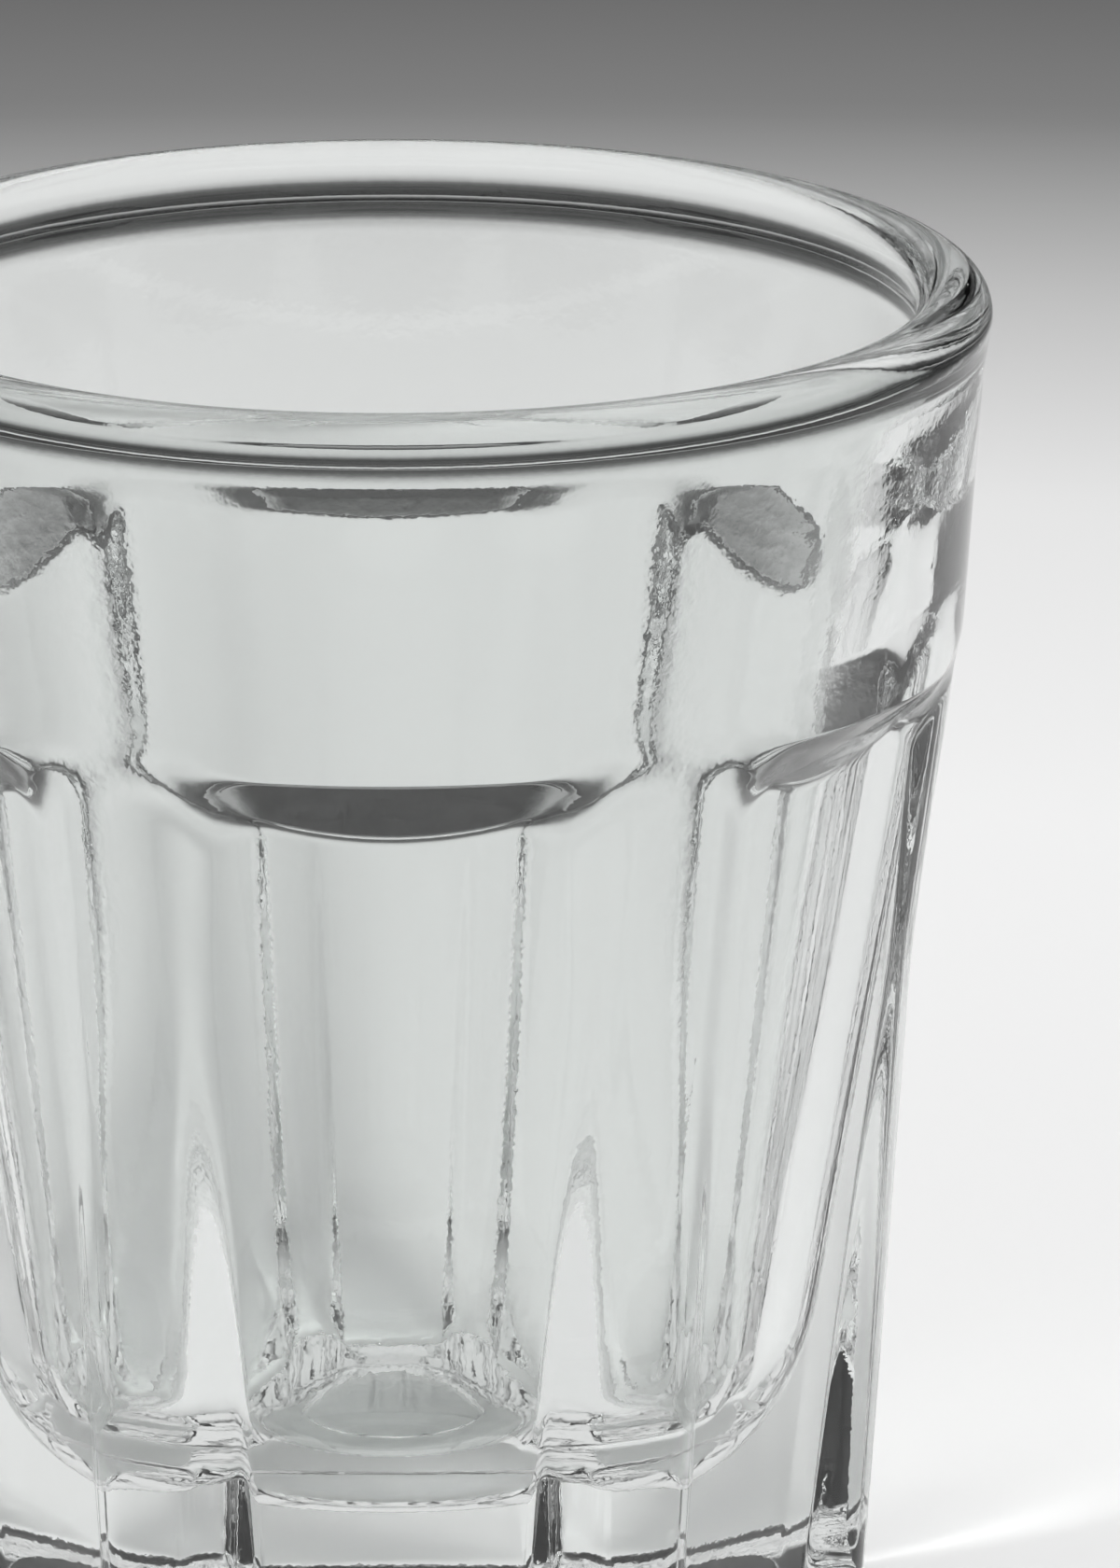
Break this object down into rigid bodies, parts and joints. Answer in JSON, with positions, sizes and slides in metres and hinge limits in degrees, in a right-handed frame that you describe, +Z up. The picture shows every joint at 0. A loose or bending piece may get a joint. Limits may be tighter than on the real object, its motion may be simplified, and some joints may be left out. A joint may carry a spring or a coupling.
{
  "type": "tequila shot glass",
  "caption": "Small tapered shot glass in thick clear pressed glass, with a rounded lip, a plain drinking band, six flat panels with ledges at their tops between rounded columns, and a heavy solid bottom.",
  "frame": {"origin": "centre of the foot ring, on the table", "axes": "+Z up along the glass's axis; one flat panel faces -Y, which is the front"},
  "size_m": [0.052, 0.052, 0.059],
  "materials": {
    "clear_glass": "clear pressed soda-lime glass, fire-polished lip, faint mould texture on the outside"
  },
  "bodies": {
    "root": {"rim_lip": "clear_glass", "drinking_band": "clear_glass", "panel_wall": "clear_glass", "base_sham": "clear_glass", "foot_ring": "clear_glass"}
  },
  "joints": []
}
